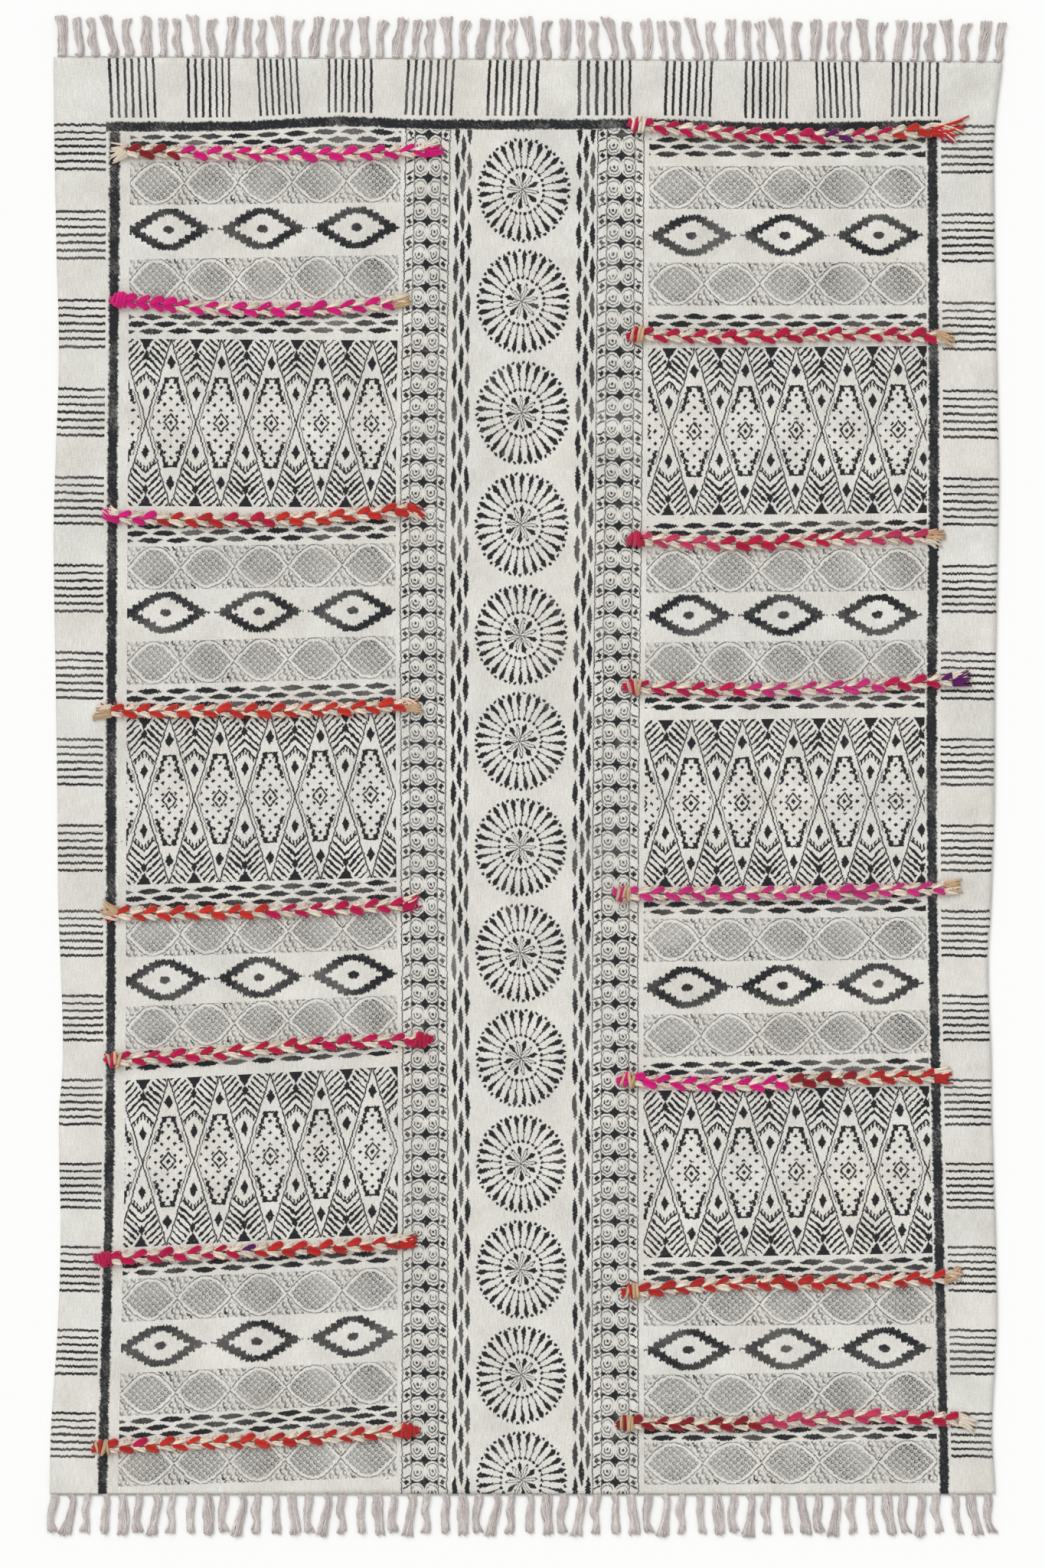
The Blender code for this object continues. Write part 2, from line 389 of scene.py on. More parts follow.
def fold(field, pitch):
    """Return the signed distance from the nearest whole multiple of the pitch."""
    return compute("WRAP", field, pitch / 2.0, -pitch / 2.0)


def nearest(field, pitch):
    """Return the number of the nearest multiple of the pitch."""
    return compute("ROUND", field / pitch)


def length(x, y):
    """Return the distance from the origin."""
    return compute("SQRT", x * x + y * y)


def stamp(distance, blur=0.5):
    """Turn a distance, negative inside a shape, into ink: 1 inside and 0 outside."""
    return compute("MULTIPLY_ADD", distance, -0.5 / blur, 0.5, clamp=True)


def speckle(x, y):
    """Return an even random number for each whole place x, y."""
    tree = x.socket.id_data
    node = tree.nodes.new("ShaderNodeTexWhiteNoise")
    node.noise_dimensions = "2D"
    feed(node.inputs["Vector"], joined(x, y))
    return Field(node.outputs["Value"])


def joined(x, y):
    """Return a vector socket made of two fields."""
    node = x.socket.id_data.nodes.new("ShaderNodeCombineXYZ")
    feed(node.inputs[0], x)
    feed(node.inputs[1], y)
    return node.outputs[0]


def cloud(x, y, size, detail=2.0, stretch=1.0):
    """Return smooth noise around 0.5 with lumps of a size; stretch lengthens them along y."""
    node = x.socket.id_data.nodes.new("ShaderNodeTexNoise")
    node.noise_dimensions = "2D"
    feed(node.inputs["Vector"], joined(x / size, y / (size * stretch)))
    feed(node.inputs["Scale"], 1.0)
    feed(node.inputs["Detail"], detail)
    return Field(node.outputs["Fac"])


def blend_colours(tree, share, first, second, blend="MIX"):
    """Return the colour socket of a mix of two colours."""
    node = tree.nodes.new("ShaderNodeMix")
    node.data_type = "RGBA"
    node.blend_type = blend
    feed(node.inputs["Factor"], share)
    for socket, colour in ((node.inputs[6], first), (node.inputs[7], second)):
        feed(socket, colour if isinstance(colour, bpy.types.NodeSocket) else (*colour, 1.0))
    return node.outputs[2]


# ---- motifs: ink from 0 to 1
def plain(x, y):
    """Bare cloth with a rare stray thread of ink."""
    chance = speckle(nearest(x, 11.0), nearest(y, 7.0))
    tick = most(abs(fold(x, 11.0)) - 1.4, abs(fold(y, 7.0)) - 0.5)
    return stamp(tick) * compute("GREATER_THAN", chance, 0.993) * 0.7


def ragged_lines(along, across, pitch, half_length, count_reach):
    """Return a group of parallel lines that lie along one axis and repeat across it."""
    number = nearest(across, pitch)
    uneven = speckle(number, number * 0.37) * 3.0
    line = abs(fold(across, pitch)) - (1.4 + 0.18 * uneven)
    return stamp(most(line, abs(along) - (half_length - uneven), abs(across) - count_reach))


def side_groups(x, y):
    """Seven level lines in each group down the long borders."""
    group = nearest(y, SIDE_GROUP_PITCH)
    local = fold(y, SIDE_GROUP_PITCH) + speckle(group, group) * 0.02 * x
    return ragged_lines(x, local, 9.5, 37.0, 31.5) * 0.95


def top_groups(x, y):
    """Seven upright lines in each group along the top border."""
    group, rise = nearest(x, TOP_GROUP_PITCH), y - TOP_BORDER_MIDDLE
    local = fold(x, TOP_GROUP_PITCH) + (speckle(group, group) - 0.5) * 0.12 * rise
    return ragged_lines(rise, local, 9.3, 42.0, 31.0) * 0.95


def heavy_line(distance, along, across):
    """Return a thick line, flecked where the raised threads took no ink."""
    edge = cloud(along, across, 5.0) * 4.0 - 2.0
    hatch = cloud(along + across, along - across, 1.9, detail=2.0, stretch=5.0)
    worn = cloud(along, across, 40.0)
    return stamp(abs(distance) - 6.2 + edge, 1.1) * (0.42 + 0.72 * hatch + 0.50 * worn)


def side_frame(x, y):
    """The dark line that frames the panels on the left and right."""
    return heavy_line(x, y, x)


def top_frame(x, y):
    """The dark line that frames the panels at the top."""
    return heavy_line(y - TOP_LINE, x, y)


def bead_rows(along, across, pitch, half_length, half_width, row_pitch):
    """Return three rows of pointed beads, every second row shifted by half a bead."""
    row = nearest(across, row_pitch)
    shifted = along + row * (pitch / 2.0)
    share = fold(shifted, pitch) / half_length
    bead = abs(across - row * row_pitch) - half_width * (1.0 - share * share)
    tone = 0.86 + 0.2 * speckle(nearest(shifted, pitch), row)
    return stamp(most(bead, abs(across) - 1.5 * row_pitch)) * tone


def beads(x, y):
    """A band of three rows of beads."""
    return bead_rows(x, y, PITCH["beads"], 16.2, 3.7, 9.2)


def chain(x, y):
    """An upright chain of three rows of long beads."""
    return bead_rows(y, x, 44.4, 18.4, 3.3, 8.2)


def filigree(x, y):
    """A band of ogees filled with small florets, with curls between them."""
    pitch, reach = PITCH["filigree"], 26.3
    turn = x * (math.pi / pitch)
    slope = compute("COSINE", turn) * (reach * math.pi / pitch)
    gap = (abs(y) - abs(compute("SINE", turn)) * reach) / compute("SQRT", slope * slope + 1.0)
    strength = 0.35 + 0.75 * cloud(x, y, 22.0)
    line = stamp(abs(gap - 0.9) - 0.8) * strength
    p, q = (x + y) * 0.7071, (x - y) * 0.7071
    cell = 6.3
    near_p, near_q = fold(p, cell), fold(q, cell)
    floret = length(near_p, near_q)
    petals = stamp(least(abs(floret - 1.9) - 0.65 + 0.12 * near_p, floret - 0.35)) * 0.62 + 0.25
    inside = petals * stamp(gap + 3.2)
    curl_x, curl_y = fold(p + 0.3 * q, 8.6), fold(q, 8.2)
    curl = length(curl_x, curl_y * 0.8)
    curls = (stamp(abs(curl - 2.4) - 0.75 + 0.25 * curl_x) + 0.06) * stamp(3.0 - gap)
    curls = curls * stamp(abs(y) - 27.5) * (0.10 + 1.1 * cloud(x, y, 15.0))
    patch = 0.45 + 0.85 * cloud(x, y, 60.0)
    return most(line, inside * patch, curls)


def eyes(x, y):
    """A band of flat-topped stepped diamonds with a dot in the middle of each."""
    local = abs(fold(x, PITCH["eyes"]))
    step = 7.4
    rung = compute("FLOOR", (local + 1.5) / step) * step
    teeth = speckle(nearest(x, 1.9), nearest(y, 9.0)) * 1.4 - 0.7
    comb = abs(fold(x, step / 2.0)) * 0.7 - 0.6
    outer = least(32.3 - rung * 0.6, 26.2) + teeth - comb
    inner = least(20.3 - rung * 0.6, 18.4) + teeth + comb * 0.6
    ring = most(abs(y) - outer, inner - abs(y))
    dot = length(local / 7.2, y / 5.0) * 5.0 - 5.0
    return stamp(least(ring, dot)) * 0.95


def diamonds(x, y):
    """A tall panel of long diamonds with stepped figures, and feathers between them."""
    pitch, height = PITCH["diamonds"], HALF_HEIGHTS["diamonds"]
    half = pitch / 2.0
    a = abs(fold(x, pitch))
    b = abs(y)
    h = height - b
    c = half - a
    side_of_diamond = a - h * (half / height)
    outline = abs(side_of_diamond) - 0.9
    second = most(abs(side_of_diamond + 4.2) - 0.5, height * 0.62 - h)

    tip = a / 5.6 + abs(h - 30.0) / 9.6
    tip_mark = tip * 4.5 - 4.5
    rung = compute("FLOOR", h / 8.0) * 8.0
    figure = a - rung * (half / height) + 7.6
    below_bar = 49.0 - h
    stair = most(abs(figure) - 2.0, below_bar, h - 83.0)
    bar = most(abs(h - 50.0) - 1.2, a - 8.0)
    corner = most(abs(a - 6.2) - 3.1, abs(h - 52.8) - 3.8)
    ring = a / 9.0 + b / 11.0
    ring_line = abs(ring * 6.8 - 6.8) - 1.1
    ring_dot = ring * 8.0 - 2.8
    first_dots = abs(fold(a, 15.6)) + abs(fold(b, 15.2)) - 2.7
    other_dots = abs(fold(a - 7.8, 15.6)) + abs(fold(b - 7.6, 15.2)) - 2.7
    dots = most(least(first_dots, other_dots), side_of_diamond + 6.0, 56.0 - h, 11.0 - ring * 8.0)
    in_diamond = least(tip_mark, stair, bar, corner, ring_line, ring_dot, dots)
    in_diamond = most(in_diamond, side_of_diamond + 0.5)

    wedge = (c + h * 0.60 - 9.3) * 0.85
    vee = c + h * 0.60 - 12.8
    spot = c / 4.2 + abs(h - 21.0) / 6.5
    chevron = h - c * 1.02
    bars = abs(fold(chevron - 2.0, 9.8)) - (0.9 + 3.2 * cloud(x, y, 24.0) - c * 0.03)
    feathers = most(bars, chevron - 35.0, -1.0 * vee)
    roof = most(abs(chevron - 42.5) - 1.6, c - 15.0)
    comb = most(abs(fold(c + 2.1, 4.2)) - 1.1, abs(chevron - 46.0) - 3.4, c - 13.0)
    drop = c / 5.0 + abs(h - 69.0) / 9.8
    between = least(wedge, spot * 4.0 - 4.0, feathers, roof, comb, drop * 4.5 - 4.5)
    between = most(between, 1.4 - side_of_diamond)

    return stamp(least(outline, second, in_diamond, between)) * (0.90 + 0.5 * cloud(x, y, 30.0))


def tiles(x, y):
    """An upright column of paired round tiles, dark stars between them and dotted edge strips."""
    pitch = 27.7
    row_y = fold(y, pitch)
    circle = length(abs(x) - 9.6, row_y * 0.80)
    inner_strip = abs(x) - 17.0
    star = most(10.3 - circle, inner_strip)
    ring = most(abs(circle - 7.9) - 0.55, inner_strip, 2.6 - abs(x))
    curl = most(abs(circle - 4.4) - 0.8, row_y - 2.4 + 0.4 * fold(x, 8.0))
    dot = circle - 1.6
    rails = least(abs(abs(x) - 17.4) - 0.65, abs(abs(x) - 28.8) - 0.75)
    strip_x = abs(x) - 23.0
    strip_y = fold(y + pitch / 2.0, pitch)
    strip_dot = abs(strip_x) * 0.85 + abs(strip_y) * 0.75 - 3.2
    slant = abs(fold(strip_y + strip_x * 0.55 + 6.5, 13.0)) - 1.3
    slant = most(slant, abs(strip_x) - 4.4, 4.0 - abs(strip_y))
    lines = most(stamp(least(dot, rails)) * 0.9, stamp(least(ring, curl)) * 0.86)
    ink = most(stamp(star), lines, stamp(least(strip_dot, slant)) * 0.92)
    return ink * (0.78 + 0.5 * cloud(x, y, 25.0))


def wheels(x, y):
    """A sun wheel of pointed spokes round a ring of leaves, repeated down the middle."""
    number = nearest(y, WHEEL_PITCH)
    local_y = fold(y, WHEEL_PITCH)
    wide = x / 0.915  # the wheels are a little narrower than tall
    reach, spokes, leaves = 63.2, 27.0, 6.0
    r = length(wide, local_y)
    angle = compute("ARCTAN2", local_y, wide) + number * 0.37
    spoke = math.tau / spokes
    across = abs(fold(angle, spoke)) * r
    drop = across - least((1.02 * reach - r) * 0.60, (r - 0.60 * reach) * 0.175)
    stem = most(across - 0.65, abs(r - 0.56 * reach) - 0.12 * reach)
    bead = length(across, r - 0.655 * reach) - 1.7
    foot = length(across, r - 0.465 * reach) - 2.3
    between = abs(fold(angle + spoke / 2.0, spoke)) * r
    rim_dot = length(between, r - 0.985 * reach) - 2.2
    leaf_turn = math.tau / leaves
    leaf_across = abs(fold(angle + 0.4, leaf_turn)) * r
    leaf = leaf_across - least((0.385 * reach - r) * 0.75, (r - 0.09 * reach) * 0.25)
    vein = most(leaf_across - 0.5, r - 0.2 * reach)
    thread_across = abs(fold(angle - 0.12, leaf_turn)) * r
    thread = most(abs(thread_across - 1.6) - 0.45, abs(r - 0.17 * reach) - 0.15 * reach)
    seed = length(thread_across, r - 0.335 * reach) - 1.6
    small = length(abs(fold(angle + 0.02, leaf_turn / 2.0)) * r, r - 0.25 * reach) - 1.0
    shape = least(drop, stem, bead, foot, rim_dot, leaf, vein)
    return stamp(least(shape, thread, seed, small)) * (0.85 + 0.4 * cloud(x, y, 28.0))


MOTIFS = {
    "plain": plain, "side": side_groups, "top": top_groups, "frame": side_frame,
    "top frame": top_frame, "beads": beads, "filigree": filigree, "eyes": eyes,
    "diamonds": diamonds, "tiles": tiles, "chain": chain, "wheels": wheels,
}


# ---- materials and objects
def add_object(name, data):
    """Put a mesh, light or camera into the scene."""
    made = bpy.data.objects.new(name, data)
    bpy.context.scene.collection.objects.link(made)
    return made


def new_material(name, roughness, specular, sheen):
    """Add a material and return it with its tree and its Principled shader."""
    material = bpy.data.materials.new(name)
    material.use_nodes = True
    tree = material.node_tree
    shader = tree.nodes["Principled BSDF"]
    shader.inputs["Roughness"].default_value = roughness
    shader.inputs["Specular IOR Level"].default_value = specular
    shader.inputs["Sheen Weight"].default_value = sheen
    shader.inputs["Sheen Roughness"].default_value = 0.5
    return material, tree, shader


def map_fields(tree, name):
    """Return the two fields of a UV map."""
    source = tree.nodes.new("ShaderNodeUVMap")
    source.uv_map = name
    split = tree.nodes.new("ShaderNodeSeparateXYZ")
    feed(split.inputs[0], source.outputs[0])
    return Field(split.outputs[0]), Field(split.outputs[1])


def shaded(tree, colour, light):
    """Return a colour socket darkened or lightened by a field."""
    shade = tree.nodes.new("ShaderNodeCombineColor")
    for socket in shade.inputs:
        feed(socket, light)
    return blend_colours(tree, 1.0, colour, shade.outputs[0], "MULTIPLY")


def add_bump(tree, shader, height, strength, distance):
    """Roughen a shader's surface with a height field."""
    bump = tree.nodes.new("ShaderNodeBump")
    feed(bump.inputs["Strength"], strength)
    feed(bump.inputs["Distance"], distance)
    feed(bump.inputs["Height"], height)
    feed(shader.inputs["Normal"], bump.outputs[0])


WARP_PITCH = 2.9
WEFT_PITCH = 2.3
WEAVE_RELIEF = (0.45, 0.0006)  # bump strength, distance in metres
THREAD = 1.9  # width of the threads that break up the ink's edge


def weave_height(u, v):
    """Return the plain weave's relief: warp threads crossed by a finer, fuller weft."""
    warp = compute("SINE", u * (math.tau / WARP_PITCH))
    weft = compute("SINE", v * (math.tau / WEFT_PITCH))
    return warp * weft * 0.35 + cloud(u, v, 1.6, detail=1.0) + cloud(u, v, 9.0, stretch=0.35) * 0.8


def printed_cloth(zone, motif):
    """Return the woven cotton of one zone of the print, inked with its motif."""
    material, tree, shader = new_material("cloth_" + zone.replace(" ", "_"), 0.92, 0.25, 0.08)
    u, v = map_fields(tree, "Print")
    x, y = map_fields(tree, "Motif")
    slip, drift = (0.7, 1.6) if zone in ("plain", "top") else (1.5, 2.6)
    shift_x = (speckle(nearest(v, THREAD), nearest(u, 16.0)) - 0.5) * slip
    shift_y = (speckle(nearest(u, THREAD), nearest(v, 16.0)) - 0.5) * slip
    drift_x = (cloud(u, v, 19.0) - 0.5) * drift
    drift_y = (cloud(v, u, 23.0) - 0.5) * drift
    ink = motif(x + shift_x + drift_x, y + shift_y + drift_y)
    worn = cloud(u, v, 3.0, detail=2.0)
    patch = cloud(u, v, 70.0, detail=2.0)
    taken = compute("MULTIPLY_ADD", worn, 1.6, 0.42, clamp=True) * (0.80 + 0.42 * patch)
    ink = compute("MULTIPLY", ink, taken, clamp=True)
    tone = cloud(u, v, 120.0, detail=3.0)
    ground = blend_colours(tree, tone, CLOTH_WARM, CLOTH_COOL)
    # fine grain of the weave, plus a broad 60 mm mottle that is painted soft shade over the ground
    grain_and_painted_shade = 0.52 + 0.30 * cloud(u, v, 2.4, detail=2.0) + 0.38 * cloud(u, v, 60.0, detail=4.0)
    grain_and_painted_shade = grain_and_painted_shade + 0.30 * cloud(u, v, 1.5, detail=1.0, stretch=9.0)
    feed(shader.inputs["Base Color"], blend_colours(tree, ink, shaded(tree, ground, grain_and_painted_shade), INK))
    add_bump(tree, shader, weave_height(u, v), *WEAVE_RELIEF)
    return material


def cloth_back():
    """Return the unprinted back of the cloth."""
    material, tree, shader = new_material("cloth_back", 0.95, 0.2, 0.08)
    u, v = map_fields(tree, "Print")
    tone = cloud(u, v, 90.0, detail=3.0)
    feed(shader.inputs["Base Color"], blend_colours(tree, tone, CLOTH_WARM, CLOTH_COOL))
    add_bump(tree, shader, weave_height(u, v), *WEAVE_RELIEF)
    return material


def yarn_material(name, roughness, sheen, relief):
    """Return a fibre whose colour is the piece's dye, with painted shade in its ply grooves, mottled
    along its strands.
    """
    material, tree, shader = new_material(name, roughness, 0.15, sheen)
    # this attribute holds the dye darkened by painted shade in the ply grooves
    dye = tree.nodes.new("ShaderNodeAttribute")
    dye.attribute_name = "DyeWithGrooveShade"
    around, along = map_fields(tree, "Fibre")
    fibres = cloud(around + 0.35 * along, along, 0.55, detail=3.0, stretch=9.0)
    lumps = cloud(around, along, 3.0, detail=1.0)
    light = 0.46 + 0.80 * fibres + 0.28 * lumps
    feed(shader.inputs["Base Color"], shaded(tree, dye.outputs["Color"], light))
    add_bump(tree, shader, fibres, 0.5, relief)
    return material


# ---- the cloth's mesh
PANEL_ENDS = [place for zone, *ends in COLUMNS if zone.endswith("panel") for place in ends]
# the flat map of both faces: the front at full size, the back and rim at a third beside it
BAKE_CORNER = (-605.0, -920.0)
BAKE_SIZE = (1660.0, 1850.0)
FRONT_ON_MAP, BACK_ON_MAP = (0.0, 1.0, 1.0), (0.745, 0.33, 0.33)  # shift, width, height


def band_rows():
    """Return the print's rows downwards as (zone below, v at the panel ends)."""
    lines = [("top", [max(TOP_EDGE)] * 4), ("top frame", [TOP_LINE_REACH[1]] * 4),
             ("plain", [TOP_LINE_REACH[0]] * 4)]
    ceiling = [TOP_LINE_REACH[0]] * 4
    for index, (kind, *middles) in enumerate(BANDS):
        half = HALF_HEIGHTS[kind]
        top = [min(middle + half, limit - 0.3) for middle, limit in zip(middles, ceiling)]
        floor = [middle - half for middle in middles]
        if index + 1 < len(BANDS):
            next_kind, *next_middles = BANDS[index + 1]
            next_top = [middle + HALF_HEIGHTS[next_kind] for middle in next_middles]
            floor = [max(low, (low + high) / 2.0) for low, high in zip(floor, next_top)]
        lines.append((kind, top))
        lines.append(("plain", floor))
        ceiling = floor
    lines.append(("end", [BOTTOM_EDGE[0]] * 4))
    return lines


def cells(low, high):
    """Return how many even steps of at most the cell size a stretch needs."""
    return max(1, math.ceil(abs(high - low) / CELL))


def grid_rows():
    """Return the mesh rows as (v at the panel ends, zone below, share and step of it)."""
    lines = band_rows()
    rows = []
    for (zone, top), (_, low) in zip(lines, lines[1:]):
        steps = max(cells(start, end) for start, end in zip(top, low))
        for step in range(steps):
            share = step / steps
            places = [start + (end - start) * share for start, end in zip(top, low)]
            rows.append((places, zone, share, 1.0 / steps))
    rows.append((lines[-1][1], "end", 0.0, 0.0))
    return rows


def grid_columns():
    """Return the mesh columns as (u, zone to its right)."""
    columns = []
    for zone, left, right in COLUMNS:
        steps = cells(left, right)
        columns += [(left + (right - left) * step / steps, zone) for step in range(steps)]
    columns.append((COLUMNS[-1][2], "end"))
    return columns


def cloth_place(u, v, sway):
    """Return the x and y on the rug of a print place."""
    places, shifts = sway
    x = u + straight_through(places, shifts, u)
    near_line = soft_step(795.0, 826.0, v) * (1.0 - soft_step(838.0, 880.0, v))
    y = v + table_curve(TOP_LINE_SWAY, 1, u) * near_line
    y += (end_edge(1, x) - max(TOP_EDGE)) * soft_step(845.0, max(TOP_EDGE), v)
    return x, y


def zone_of_cell(column_zone, row_zone, u):
    """Return the material zone of a cell from its column and its row."""
    if row_zone == "top":
        return "top" if TOP_BORDER_REACH[0] < u < TOP_BORDER_REACH[1] else "plain"
    if row_zone == "top frame":
        return "side" if column_zone == "side" else "top frame"
    if column_zone.endswith("panel"):
        return row_zone
    return column_zone


def motif_place(zone, right, u, v, share):
    """Return the motif coordinates of a print place; share runs down a band from 0 to 1."""
    if zone in ("plain", "top frame"):
        return u, v
    if zone == "top":
        return place_in_row(TOP_GROUPS, u) * TOP_GROUP_PITCH, v
    if zone == "side":
        drop = 4.0 * soft_step(0.0, 800.0, v) if right else 0.0
        number = place_in_row(SIDE_GROUPS, v + drop)
        return u - COLUMN_MIDDLES["side"][right], number * SIDE_GROUP_PITCH
    if zone == "wheels":
        return u - COLUMN_MIDDLES["wheels"][0], place_in_row(WHEELS, v) * WHEEL_PITCH
    if zone in COLUMN_MIDDLES:
        return u - COLUMN_MIDDLES[zone][right], v
    pitch_left, pitch_right, start_left, start_right = REPEATS[zone]
    pitch, start = (pitch_right, start_right) if right else (pitch_left, start_left)
    panel_left = PANEL_ENDS[2] if right else PANEL_ENDS[0]
    repeat = (u - panel_left) / pitch - start
    return repeat * PITCH[zone], HALF_HEIGHTS[zone] * (1.0 - 2.0 * share)


def build_cloth():
    """Build the woven ground as one thin closed sheet with its print's coordinates."""
    rows, columns = grid_rows(), grid_columns()
    width = len(columns)
    prints, tops = [], []
    for ends, *_ in rows:
        sway_cache = {}
        for u, _ in columns:
            v = straight_through(PANEL_ENDS, ends, u)
            key = round(v)
            if key not in sway_cache:
                sway_cache[key] = sway_at(v)
            prints.append((u, v))
            tops.append(cloth_place(u, v, sway_cache[key]))
    count = len(tops)
    points = [(x * MM, y * MM, top_height(x, y) * MM) for x, y in tops]
    points += [(x * MM, y * MM, underside_height(x, y) * MM) for x, y in tops]

    zones = list(MOTIFS)
    faces, slots, print_map, motif_map, bake_map = [], [], [], [], []

    def add_face(corners, slot, motif_corners, on_map):
        shift, *scale = on_map
        faces.append(corners)
        slots.append(slot)
        for corner, motif in zip(corners, motif_corners):
            u, v = prints[corner % count]
            print_map.extend((u, v))
            motif_map.extend(motif)
            bake_map.append((u - BAKE_CORNER[0]) / BAKE_SIZE[0] * scale[0] + shift)
            bake_map.append((v - BAKE_CORNER[1]) / BAKE_SIZE[1] * scale[1])

    back_slot, no_motif = len(zones), [(0.0, 0.0)] * 4
    for row in range(len(rows) - 1):
        _, row_zone, share, step = rows[row]
        for column in range(width - 1):
            u_left, column_zone = columns[column]
            u_right = columns[column + 1][0]
            middle_u = (u_left + u_right) / 2.0
            zone = zone_of_cell(column_zone, row_zone, middle_u)
            a, b = row * width + column, (row + 1) * width + column
            corners = (b, b + 1, a + 1, a)
            shares = (share + step, share + step, share, share)
            motifs = [motif_place(zone, middle_u > 0.0, *prints[corner], part)
                      for corner, part in zip(corners, shares)]
            add_face(corners, zones.index(zone), motifs, FRONT_ON_MAP)
            below = tuple(count + corner for corner in reversed(corners))
            add_face(below, back_slot, no_motif, BACK_ON_MAP)
    height = len(rows)
    rim = [(0, column) for column in range(width)]
    rim += [(row, width - 1) for row in range(1, height)]
    rim += [(height - 1, column) for column in range(width - 2, -1, -1)]
    rim += [(row, 0) for row in range(height - 2, 0, -1)]
    for here, after in zip(rim, rim[1:] + rim[:1]):
        first, second = here[0] * width + here[1], after[0] * width + after[1]
        around = (first, second, count + second, count + first)
        add_face(around, back_slot, no_motif, BACK_ON_MAP)

    mesh = bpy.data.meshes.new("rug_ground")
    mesh.from_pydata(points, [], faces)
    for name, values in (("OFBake", bake_map), ("Print", print_map), ("Motif", motif_map)):
        mesh.uv_layers.new(name=name).data.foreach_set("uv", values)
    mesh.polygons.foreach_set("material_index", slots)
    for zone in zones:
        mesh.materials.append(printed_cloth(zone, MOTIFS[zone]))
    mesh.materials.append(cloth_back())
    mesh.shade_smooth()
    mesh.update()
    return add_object("rug_ground", mesh)


# ---- yarn
class Skein:
    """Strands of dyed yarn that end up as one mesh."""

    def __init__(self, seed):
        # dyes holds each point's dye colour, darkened in the ply grooves by painted shade
        self.points, self.faces, self.dyes, self.fibre_map = [], [], [], []
        self.chance = random.Random(seed)

    def strand(self, path, radii, sides, dye, lobes=0, twist=0.0, flat=1.0, up=(0.0, 0.0, 1.0)):
        """Add a closed tube along a path, with rounded lobes that wind round it like plies and painted
        shade darkening the grooves between them.
        """
        start = len(self.points)
        tint = self.chance.uniform(0.86, 1.12)
        for index, (here, radius) in enumerate(zip(path, radii)):
            before, after = path[max(index - 1, 0)], path[min(index + 1, len(path) - 1)]
            along = unit([after[i] - before[i] for i in range(3)])
            side = unit(cross(along, up))
            over = cross(side, along)
            for step in range(sides):
                angle = math.tau * step / sides
                ply = math.cos(lobes * angle + twist * index) if lobes else 0.0
                swell = radius * (1.0 + 0.16 * ply)
                across, rise = swell * math.cos(angle), swell * math.sin(angle) * flat
                self.points.append([here[i] + side[i] * across + over[i] * rise for i in range(3)])
                # painted shade: the colour is darkened by up to a fifth in the grooves between the
                # plies, where shade would fall
                painted_groove_shade = 1.0 - 0.20 * (1.0 - ply) if lobes else 1.0
                self.dyes.append([channel * tint * painted_groove_shade for channel in dye])
        shift = self.chance.uniform(0.0, 500.0)
        girth = math.tau * max(radii) / sides
        lengths = [0.0]
        for before, after in zip(path, path[1:]):
            lengths.append(lengths[-1] + math.dist(before, after))
        for ring in range(len(path) - 1):
            low, high = shift + lengths[ring], shift + lengths[ring + 1]
            for step in range(sides):
                a, b = start + ring * sides + step, start + ring * sides + (step + 1) % sides
                left, right = girth * step, girth * (step + 1)
                self.faces.append((a, a + sides, b + sides, b))
                self.fibre_map.extend((left, low, left, high, right, high, right, low))
        for ring, tip in ((0, path[0]), (len(path) - 1, path[-1])):
            centre = len(self.points)
            self.points.append(list(tip))
            self.dyes.append([channel * tint for channel in dye])
            first = start + ring * sides
            for step in range(sides):
                a, b = first + step, first + (step + 1) % sides
                self.faces.append((a, b, centre) if ring == 0 else (b, a, centre))
                self.fibre_map.extend((girth * step, shift) * 3)

    def piece(self, name, material):
        """Return the strands as one smooth mesh object."""
        mesh = bpy.data.meshes.new(name)
        mesh.from_pydata([[value * MM for value in point] for point in self.points], [], self.faces)
        # the colour attribute carries each point's dye with the painted shade in the ply grooves
        layer = mesh.color_attributes.new("DyeWithGrooveShade", "FLOAT_COLOR", "POINT")
        colours = []
        for dye in self.dyes:
            colours.extend((*[min(channel, 1.0) for channel in dye], 1.0))
        layer.data.foreach_set("color", colours)
        mesh.uv_layers.new(name="Fibre").data.foreach_set("uv", self.fibre_map)
        mesh.materials.append(material)
        mesh.shade_smooth()
        mesh.update()
        return add_object(name, mesh)


def cross(a, b):
    """Return the cross product of two vectors."""
    return (a[1] * b[2] - a[2] * b[1], a[2] * b[0] - a[0] * b[2], a[0] * b[1] - a[1] * b[0])


def unit(a):
    """Return a vector of length one along a."""
    size = math.sqrt(sum(value * value for value in a)) or 1.0
    return tuple(value / size for value in a)


# ---- braids
# A plait is drawn as short plump leaves of wool laid in turn over two cream core strands. Its ends
# are a "tuft" of loose wool, a longer "brush", a wrapped "knot", or a "wrap": a knot whose dyed wool
# also covers the first part of the plait.
LEAF_PITCH = 17.2
LEAF_REACH = 8.8  # half length of a leaf along the braid
LEAF_STEPS = 10
KNOT_REACH = 17.0
END_REACH = {"tuft": 25.0, "brush": 50.0, "knot": KNOT_REACH, "wrap": KNOT_REACH}
WRAP_SHARE = 0.24  # share of the braid that a wrap covers with dyed wool


def dye_along(dyes, share):
    """Return the name of the wool's dye at a share of the braid's length."""
    return next((dye for reach, dye in dyes if share <= reach), dyes[-1][1])


